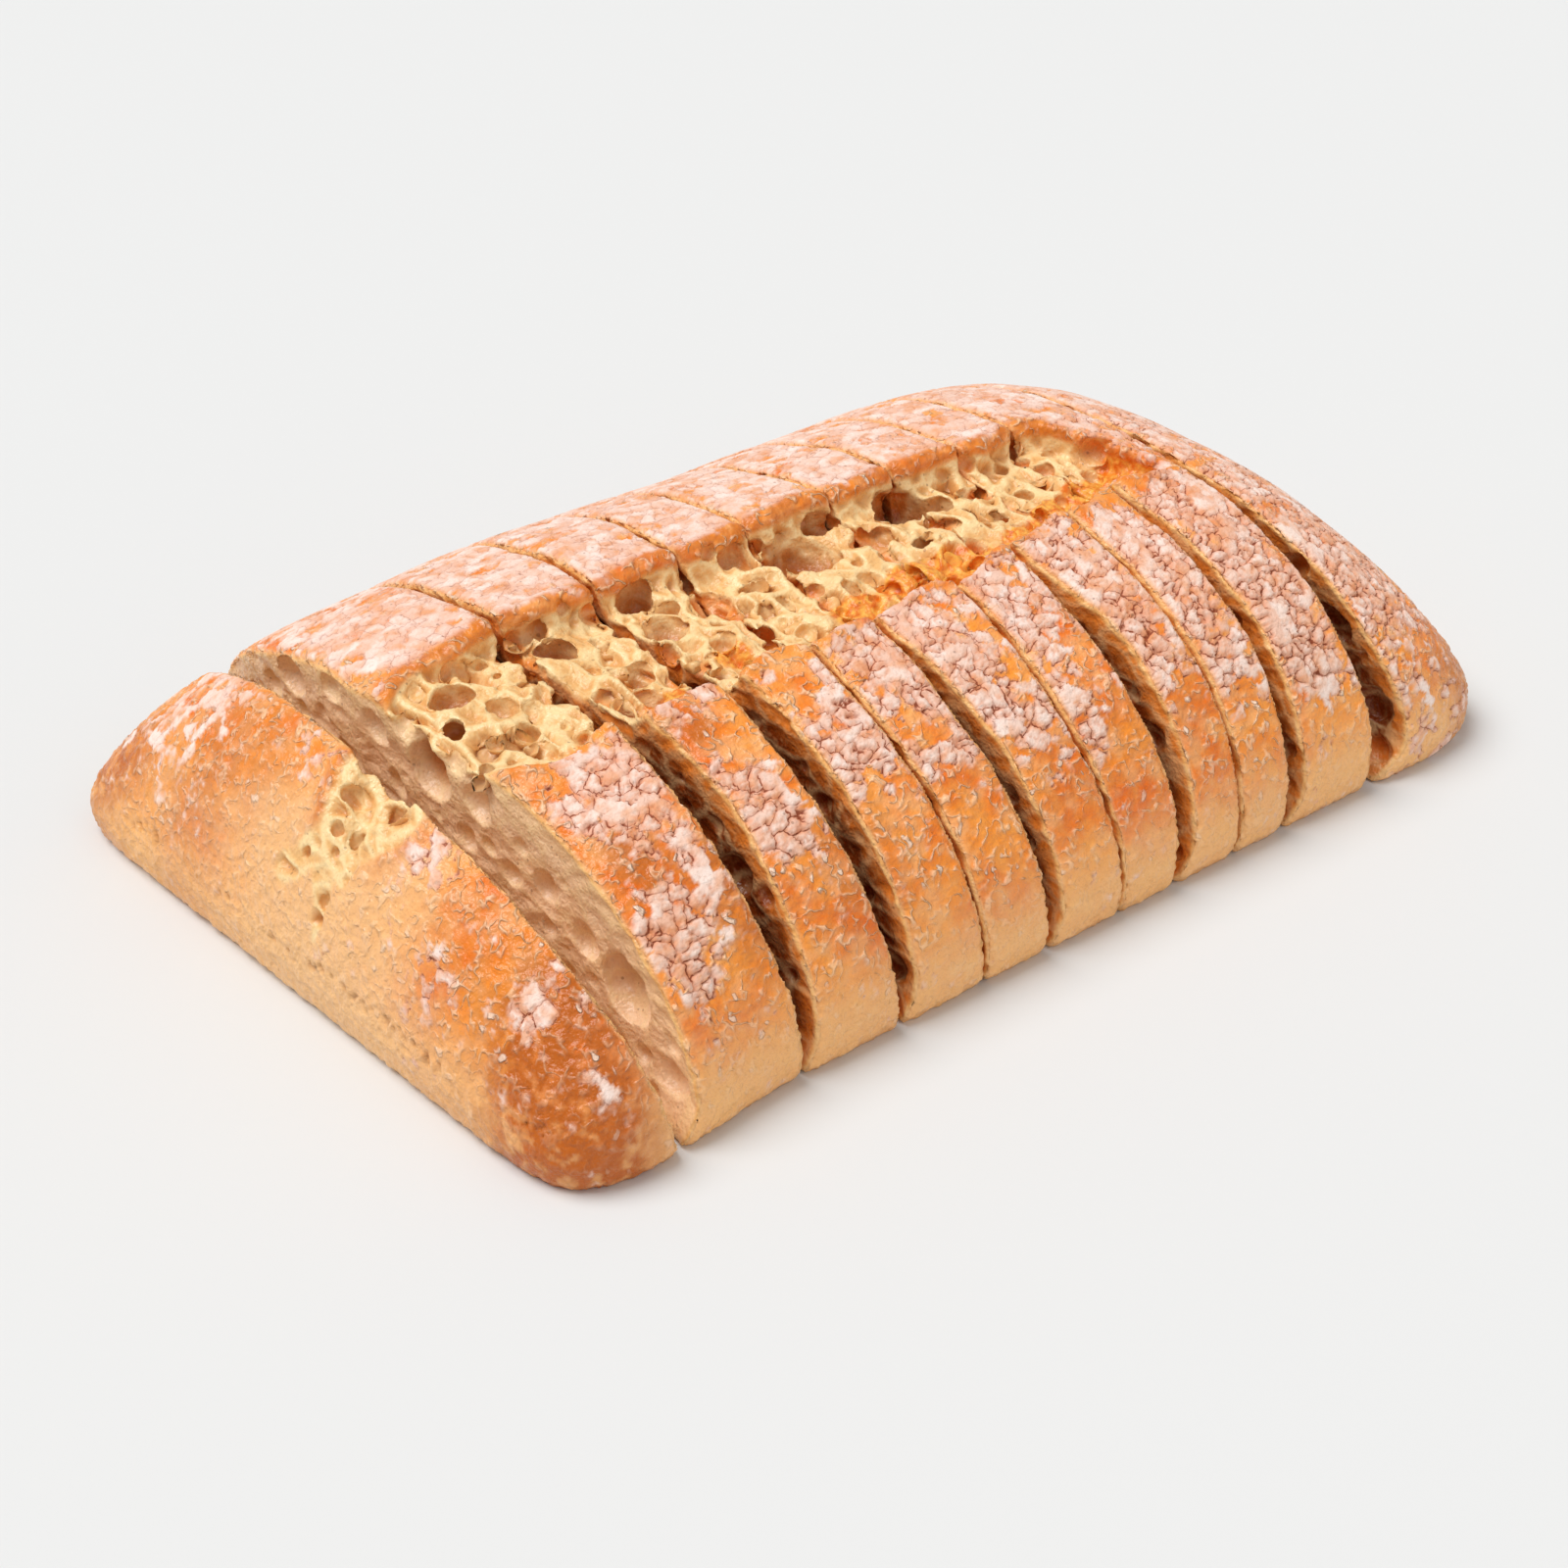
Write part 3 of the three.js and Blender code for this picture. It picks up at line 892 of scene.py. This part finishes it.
def add_crease(net, at):
    line = CREASE_HEIGHT + CREASE_WANDER * (net.clouds(at.place, 19.0) - 0.5)
    near = (at.height - line).away().ramp(1.5, 0.2)
    patchy = net.clouds(at.place, 1.7).ramp(0.50, 0.60) * net.clouds(at.place, 11.0).ramp(0.46, 0.58)
    at.crease = near * patchy * at.x.ramp(-117, -121)


print("the crease is about", CREASE_HEIGHT, "mm high")

# %% [markdown]
# ## Colours by the millimetre
# Baked crust is golden, pale near the board, darker where it caught more heat, and whitish where
# flour stuck. Crumb is cream. Shade and light are painted in as well: painted shade makes the crumb
# amber in its bowls and where it is deep, and darkens the gaps between slices and the fold of the
# heel, while painted light brightens the open cut face, thin walls, rims and the crust beside each
# cut. The material could work this out for every ray, but that is slow. So anything wider than the
# mesh's own vertices is stored at each vertex. It is layers of colour, each with the share that it covers.

# %% Named tones
# red, green and blue, as a screen shows them
TONES = {
    "gold": (238, 112, 14), "bright gold": (255, 152, 46), "mottled gold": (250, 178, 90),
    "low crust": (255, 202, 134), "pale crust": (246, 196, 138), "veiled crust": (252, 196, 140),
    # the crust beside a cut gets a painted highlight
    "toasted crust": (194, 98, 18), "painted cut edge highlight": (255, 206, 146), "browned lip": (214, 116, 34),
    # the fold of the heel gets a painted shade
    "painted crease shade": (160, 100, 50), "crust grain": (206, 140, 92),
    "grey flour": (238, 184, 156), "white flour": (252, 230, 218), "thin flour": (236, 154, 92),
    "thick flour": (255, 238, 230), "flour edge": (222, 130, 72), "flour film": (255, 222, 184),
    "flour fleck": (254, 230, 208), "crack": (144, 62, 26),
    # bowls and dimples of the crumb get a painted shade
    "crumb": (244, 192, 124), "painted bowl shade": (206, 132, 58), "painted dimple shade": (194, 118, 50),
    # the thin walls and rims of the crumb get a painted highlight, and deep crumb a painted shade
    "painted wall highlight": (255, 228, 172), "painted deep shade": (180, 94, 26), "painted rim highlight": (252, 184, 100),
    # cut faces: painted light on the open one at the left, painted shade darkening into the gaps
    "painted lit cut": (250, 208, 160), "painted lit cut inside": (252, 214, 174),
    # the pinholes' dark dots are painted shade
    "painted shaded cut": (236, 136, 52), "painted shaded cut inside": (134, 56, 12), "pinhole_shade": (104, 48, 20),
    "brown flake": (226, 110, 12), "light flake": (255, 190, 84),
    "paper": (223, 224, 224),
}
MIX_SHARE, MIX_FIRST, MIX_SECOND, MIX_RESULT = 0, 6, 7, 2


def colour(name):
    shown = [value / 255 for value in TONES[name]]
    return (*(((v + 0.055) / 1.055) ** 2.4 if v > 0.04 else v / 12.92 for v in shown), 1.0)


def layered(net, below, layers):
    for share, above in layers:
        first, second = (colour(tone) if isinstance(tone, str) else tone for tone in (below, above))
        values = {MIX_SHARE: share, MIX_FIRST: first, MIX_SECOND: second}
        below = net.node("ShaderNodeMix", {"data_type": "RGBA"}, values, MIX_RESULT)
    return below


print(len(TONES), "tones, gold is", [round(value, 3) for value in colour("gold")])


# %% Tones of the crust
def crust_tone(net, at):
    wide = net.clouds(at.place, 17, 3).ramp(0.35, 0.65)
    veil = net.clouds(net.swirl(at.place, 6.0, 2.0), 4.2, 4).ramp(0.46, 0.64)
    burnt = at.toast * (0.4 + at.mottled.ramp(0.3, 0.6))
    return layered(net, "gold", [
        (wide, "bright gold"),
        (at.mottled.ramp(0.35, 0.7) * 0.45, "mottled gold"),
        (at.low * 0.8, "low crust"),
        (at.pale * 0.85, "pale crust"),
        (veil * (0.42 - 0.25 * at.low), "veiled crust"),
        (burnt.least(1.0), "toasted crust"),
    ])


def flour_tone(net, at):
    return layered(net, "grey flour", [
        (net.cell_value(at.loose, PLATE_SIZE), "white flour"),
        (at.mottled.ramp(0.45, 0.7) * 0.7, "thin flour"),
        (net.clouds(at.place, 9.0, 2).ramp(0.5, 0.68) * 0.5, "thick flour"),
    ])


def skin_with_painted_light(net, at):
    halo = at.plates.ramp(0.2, 0.0) * at.cracking * at.cover
    return layered(net, crust_tone(net, at), [
        (at.cover, flour_tone(net, at)),
        (halo * 0.65, "flour edge"),
        # the crust within about a millimetre of a cut is lighter, a painted highlight along the cut edge
        (at.from_knife.ramp(1.2, 0.3) * 0.5, "painted cut edge highlight"),
        (at.edge * (0.5 + net.clouds(at.place, 2.4, 3)).ramp(0.8, 1.1), "browned lip"),
        # the fold is darker, a painted shade in the crease
        (at.crease * 0.5, "painted crease shade"),
    ])


print("crust ready")


# %% Tones of the crumb
# the cut face on the left is open to the light and gets lighter tones, painted light; those right
# of it lie in the shade of a cut and get darker tones, painted shade that deepens into the gap
def cut_face_light_and_shade(net, at):
    in_cut_shade = at.x.ramp(-91, -84)
    shallow = layered(net, "painted lit cut", [(in_cut_shade, "painted shaded cut")])
    inside = layered(net, "painted lit cut inside", [(in_cut_shade, "painted shaded cut inside")])
    return layered(net, shallow, [(at.depth.ramp(2.0, 7.5), inside)])


def flake_tone(net, at):
    light = net.clouds(at.place, 1.4, 2).ramp(0.35, 0.65)
    return layered(net, "brown flake", [(light, "light flake")])


def crumb_with_painted_light(net, at):
    sawn = at.from_knife.ramp(4.5, 1.5)
    # deeper into the torn crumb the colour turns darker, a painted shade in its holes
    deep = at.depth.ramp(0.6, 6.0) * at.torn.ramp(0.2, 0.8) * (1 - sawn)
    inner = (1 - at.torn).most(sawn) * at.depth.ramp(0.7, 2.0)
    # near the crust on a cut face the colour turns lighter and golden, a painted highlight on the rim
    rim = at.depth.ramp(1.6, 0.8) * at.torn.ramp(0.5, 0.2)
    flake = (at.ear + net.clouds(at.place, 2.2, 3) * 0.6).ramp(0.66, 0.86)
    return layered(net, "crumb", [
        # bowls and dimples darken, a painted shade in their hollows
        (at.bowl * 0.9, "painted bowl shade"),
        (at.dimple * 0.35, "painted dimple shade"),
        # thin walls lighten, a painted highlight
        (at.wall * 0.75, "painted wall highlight"),
        (deep * 0.9, "painted deep shade"),
        (inner * (1 - 0.4 * at.wall), cut_face_light_and_shade(net, at)),
        (rim * 0.55, "painted rim highlight"),
        (flake, flake_tone(net, at)),
    ])


print("crumb ready")


# %% How strong the finest marks are
# three shares for the material: cracks, worm-like films and flecks
def fine_marks(net, at):
    bare = at.crust * (1 - at.cover) * (1 - 0.75 * at.low) * (1 - 0.6 * at.pale)
    broken = net.clouds(at.place, 2.6).ramp(0.44, 0.58) * (1 - 0.5 * at.toast)
    strewn = net.clouds(at.place, 5.0, 3.0).ramp(0.48, 0.60)
    return net.join(at.crust * at.cover * at.cracking, bare * broken, bare * strewn)


# its roughness, and the share of the pinholes, dark dots of painted shade
def rough_and_pinhole_shade(net, at):
    rough = 0.28 + 0.42 * (at.crust * at.cover)
    pinhole_share = 0.5 - 0.5 * at.crust * (1 - at.cover) * (1 - 0.6 * at.pale)
    return net.join(rough, pinhole_share, 0.0)


print("fine marks ready")

# %% [markdown]
# ## Relief
# Flour plates stand a few tenths of a millimetre proud, with open cracks between them, the crust
# wrinkles, and torn crumb is all bowls. Sculpting could do it, and a bump alone would leave the
# outline smooth. So the modifier moves each vertex along its normal. Crumb only ever goes inward,
# because the next piece is very near. Then it stores the colour and the shares for the material.

# %% How far a vertex moves
PLATE_LIFT = 0.34
CRACK_DEPTH = 0.9
WRINKLE = 0.9
WORM_LIFT = 0.25
LIP_LIFT = 0.7
CREASE_DEPTH = 0.8
SHOULDER = 2.4
SHOULDER_DROP = 0.7
# bowls and dimples of the crumb, and how much deeper they are where the slash is torn open
BOWL_DEPTH, OPEN_BOWL = 0.8, 2.4
DIMPLE_DEPTH, OPEN_DIMPLE = 0.35, 0.35


def crust_lift(net, at):
    crack = at.plates.ramp(0.09, 0.0) * at.cracking
    wrinkle = net.clouds(net.swirl(at.place, 3.0, 1.2), 2.6, 2.0) - 0.5
    floured = PLATE_LIFT - CRACK_DEPTH * crack
    bare = wrinkle * WRINKLE + WORM_LIFT * worms(net, at.curled)
    shoulder = at.from_knife.ramp(SHOULDER, 0.0)
    lift = at.cover * floured + (1 - at.cover) * bare + at.edge * LIP_LIFT
    return lift - at.crease * CREASE_DEPTH - shoulder * shoulder * SHOULDER_DROP


def rise(net, at):
    open_crumb = at.torn.ramp(0.3, 0.9) * at.depth.ramp(5.0, 1.5)
    bowls = at.bowl * (BOWL_DEPTH + OPEN_BOWL * open_crumb)
    dimples = at.dimple * (DIMPLE_DEPTH + OPEN_DIMPLE * open_crumb)
    firm = at.depth.ramp(CRUST_THICKNESS, 0.2) * at.on_skin
    return firm * crust_lift(net, at) - (1 - firm) * (bowls + dimples)


print("plates stand", PLATE_LIFT, "mm proud")

# %% The relief tree
# no vertex goes below the board
LOWEST = (-999.0, -999.0, 0.0)
TREE_SOCKETS = [
    ("Geometry", "INPUT", "NodeSocketGeometry"),
    ("Knife", "INPUT", "NodeSocketObject"),
    ("Geometry", "OUTPUT", "NodeSocketGeometry"),
]


def without_scraps(net, shape):
    island = net.node("GeometryNodeInputMeshIsland", None, None, "Island Index")
    values = {"Value": 1.0, "Group ID": island}
    size = net.node("GeometryNodeAccumulateField", None, values, "Total")
    values = {"Geometry": shape, 2: size}
    largest = net.node("GeometryNodeAttributeStatistic", None, values, "Max")
    scrap = size.math("LESS_THAN", size, largest - 0.5)
    return net.node("GeometryNodeDeleteGeometry", None, {"Geometry": shape, "Selection": scrap})


def store(net, shape, name, kind, value):
    values = {"Geometry": shape, "Name": name, "Value": value}
    return net.node("GeometryNodeStoreNamedAttribute", {"data_type": kind}, values)


def stored_marks(net, shape, at):
    # the tone is the colour of crust and crumb, with their painted shade and painted highlights in it
    tone = layered(net, crumb_with_painted_light(net, at), [(at.crust, skin_with_painted_light(net, at))])
    vectors = {"place": at.place, "loose": at.loose, "curled": at.curled}
    vectors |= {"fine": fine_marks(net, at), "rough": rough_and_pinhole_shade(net, at)}
    for name, value in vectors.items():
        shape = store(net, shape, name, "FLOAT_VECTOR", value)
    return store(net, shape, "tone", "FLOAT_COLOR", tone)


def relief_tree():
    tree = bpy.data.node_groups.new("relief", "GeometryNodeTree")
    for name, way, kind in TREE_SOCKETS:
        tree.interface.new_socket(name, in_out=way, socket_type=kind)
    net = Net(tree)
    shape = without_scraps(net, net.node("NodeGroupInput", output="Geometry"))
    at = measured(net, net.node("NodeGroupInput", output="Knife"))
    add_flour(net, at)
    add_crease(net, at)
    shape = stored_marks(net, shape, at)
    moved = net.scaled(net.node("GeometryNodeInputNormal"), rise(net, at))
    above = net.vector("MAXIMUM", net.vector("ADD", at.place, moved), LOWEST)
    shape = net.node("GeometryNodeSetPosition", None, {"Geometry": shape, "Position": above})
    net.node("NodeGroupOutput", None, {0: shape})
    return tree


relief = relief_tree()
print("relief tree has", len(relief.nodes), "nodes")

# %% [markdown]
# ## Finish the pieces
# A boolean leaves long, thin triangles that can't carry a relief, and a subdivision would keep
# them. So a voxel remesh gives each piece an even mesh first. A large piece gets slightly larger
# voxels, so that its mesh stays light. Only the largest island of a piece is kept, because a closed
# bubble inside the crumb is never seen.

# %% Cut, melt and roughen each piece
FINEST_VOXEL = 0.6
MOST_FACES = 92000
VOXEL_MARGIN = 1.01


def even_mesh(piece):
    cut_out = piece.data
    voxel = FINEST_VOXEL
    melt(piece, voxel)
    if len(piece.data.polygons) > MOST_FACES:
        voxel *= VOXEL_MARGIN * math.sqrt(len(piece.data.polygons) / MOST_FACES)
        piece.data = cut_out
        melt(piece, voxel)
    return voxel


def finish_piece(piece):
    knife = piece.copy()
    knife.data = piece.data.copy()
    combine(piece, crumb, "INTERSECT")
    voxel = even_mesh(piece)
    finish = piece.modifiers.new("relief", "NODES")
    finish.node_group = relief
    finish[relief.interface.items_tree["Knife"].identifier] = knife
    settle(piece)
    bpy.data.objects.remove(knife)
    print(piece.name, "voxel", round(voxel, 2), "faces", len(piece.data.polygons))


for piece in pieces:
    finish_piece(piece)

# %% [markdown]
# ## Bread
# Crust and crumb could be two materials, but they are one baked thing and fade into each other. So
# one material does both. It takes the stored tone and adds the marks that are finer than the mesh:
# cracks, worm-like films, flecks of flour and pinholes, whose dark dots are painted shade. Films and
# flecks also raise a bump.

# %% The bread material
FLECK_SIZE = 2.1
PORE_SIZE = 2.3
GRAIN_SIZE = 0.6
CRUST_SHINE = 0.42
BUMP_HEIGHT = 0.0006


def new_material(name):
    made = bpy.data.materials.new(name)
    made.use_nodes = True
    return made, Net(made.node_tree)


def surface(net, values):
    shaded = net.node("ShaderNodeBsdfPrincipled", None, values)
    net.node("ShaderNodeOutputMaterial", None, {"Surface": shaded})


def stored(net, name, output="Vector"):
    return net.node("ShaderNodeAttribute", {"attribute_name": name}, None, output)


def scattered(net, place, size, outline, chosen):
    spot, kind = net.spot_and_value(place, size)
    return spot.ramp(*outline) * kind.ramp(*chosen)


def bread_material():
    bread, net = new_material("bread")
    place, loose, curled = (stored(net, name) for name in ("place", "loose", "curled"))
    crack_share, worm_share, fleck_share = net.split(stored(net, "fine"))
    rough, pinhole_shade_share = net.split(stored(net, "rough"))[:2]

    broken = net.clouds(place, 1.7).ramp(0.36, 0.48)
    crack = flour_plates(net, loose).ramp(0.045, 0.01) * crack_share * broken
    worm = worms(net, curled) * worm_share
    drawn = net.vector("MULTIPLY", loose, (1.0, 0.55, 0.8))
    fleck = scattered(net, drawn, FLECK_SIZE, (0.36, 0.22), (0.5, 0.65)) * fleck_share
    # pinholes: dark dots, a painted shade of holes too small for the mesh
    pinhole_shade = scattered(net, place, PORE_SIZE, (0.16, 0.10), (0.5, 0.55)) * pinhole_shade_share
    grain = net.clouds(place, GRAIN_SIZE, 2)

    face = layered(net, stored(net, "tone", "Color"), [
        (grain.ramp(0.5, 0.75) * 0.25, "crust grain"),
        (worm * 0.6, "flour film"),
        (fleck * 0.8, "flour fleck"),
        (crack * 0.95, "crack"),
        (pinhole_shade * 0.85, "pinhole_shade"),
    ])
    height = worm * 0.6 + fleck * 0.8 + net.clouds(curled, 1.3, 1) * 0.6 + grain * 0.3
    values = {"Height": height, "Distance": BUMP_HEIGHT, "Strength": 1.0}
    bumpy = net.node("ShaderNodeBump", None, values)
    surface(net, {"Base Color": face, "Normal": bumpy, "Roughness": rough,
                  "Specular IOR Level": CRUST_SHINE})
    return bread


bread = bread_material()
print("bread material has", len(bread.node_tree.nodes), "nodes")

# %% [markdown]
# ## Put each piece in its place
# The frame's solids are centred, so the loaf moves by the difference of the two boxes. The objects
# could move, but a finished piece sits at the origin with its place in its mesh, so each mesh moves.
# Each finished piece replaces its solid, and rides on the loaf's one body.

# %% Pieces into the frame
def centre_shift():
    middle = 0.5 * (skin_low + skin_high)
    cad_low, cad_high = (np.array(corner) for corner in cad_box)
    cad_middle = 0.5 * (cad_low + cad_high) / MM
    return Vector((cad_middle[0] - middle[0], cad_middle[1] - middle[1], 0))


shift = centre_shift()
print("shift to the frame:", [round(v, 2) for v in shift], "mm")
for piece in pieces:
    piece.data.transform(Matrix.Scale(MM, 4) @ Matrix.Translation(shift))
    piece.data.materials.clear()
    piece.data.materials.append(bread)
    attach(piece, "root")
    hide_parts(piece.name.removesuffix("_bread"))
for helper in (loaf, air, crumb):
    bpy.data.objects.remove(helper)
print(len(pieces), "pieces in their places")

# %% [markdown]
# ## Floor, light and camera
# The loaf lies on a plain, pale ground under a wide, soft light from above. A warm card faintly
# lights its front. Area lamps could do this, but their light falls off with distance, so two wide
# sun lamps and an even sky do it. The camera stands where the picture was taken from.

# %% The floor
FLOOR_SIZE = 6


def studio_floor():
    bm = bmesh.new()
    bmesh.ops.create_grid(bm, x_segments=1, y_segments=1, size=FLOOR_SIZE)
    floor = mesh_object("floor", bm)
    paper, net = new_material("paper")
    surface(net, {"Base Color": colour("paper"), "Roughness": 0.9})
    floor.data.materials.append(paper)


studio_floor()
print("a floor of", 2 * FLOOR_SIZE, "m")

# %% The lights
SKY_STRENGTH = 0.41
# energy, how wide it looks in degrees, its colour, and where it stands from the loaf
SUN_LAMPS = {
    "softbox": (2.42, 42, (1.0, 1.0, 1.0), (-0.30, 0.30, 0.90)),
    "bounce_card": (0.6, 80, (1.0, 0.90, 0.78), (0.15, -0.90, 0.35)),
}


def sun_lamp(name, energy, width, tint, stands):
    lamp = bpy.data.lights.new(name, "SUN")
    lamp.energy = energy
    lamp.angle = math.radians(width)
    lamp.color = tint
    linked(name, lamp).rotation_euler = Vector(stands).to_track_quat("Z", "Y").to_euler()


def studio_sky():
    world = bpy.data.worlds.new("studio")
    bpy.context.scene.world = world
    world.use_nodes = True
    net = Net(world.node_tree)
    values = {"Color": (1.0, 1.0, 1.0, 1.0), "Strength": SKY_STRENGTH}
    sky = net.node("ShaderNodeBackground", None, values)
    net.node("ShaderNodeOutputWorld", None, {"Surface": sky})


studio_sky()
for name, settings in SUN_LAMPS.items():
    sun_lamp(name, *settings)
print("lamps:", ", ".join(SUN_LAMPS))

# %% The camera
CAMERA_PLACE = Vector((-0.3083, -0.3783, 0.3211))
CAMERA_FORWARD = Vector((0.5183, 0.6509, -0.5547))
CAMERA_LENS = 63.0
SENSOR = 36.0
NEAREST_SEEN = 0.01


def camera():
    view = bpy.data.cameras.new("camera")
    view.lens = CAMERA_LENS
    view.sensor_width = SENSOR
    view.clip_start = NEAREST_SEEN
    eye = linked("camera", view)
    eye.location = CAMERA_PLACE
    eye.rotation_euler = CAMERA_FORWARD.to_track_quat("-Z", "Y").to_euler()
    bpy.context.scene.camera = eye


camera()
bpy.context.scene.view_settings.view_transform = "Standard"
print("the camera is", round(CAMERA_PLACE.length, 2), "m from the loaf's foot")
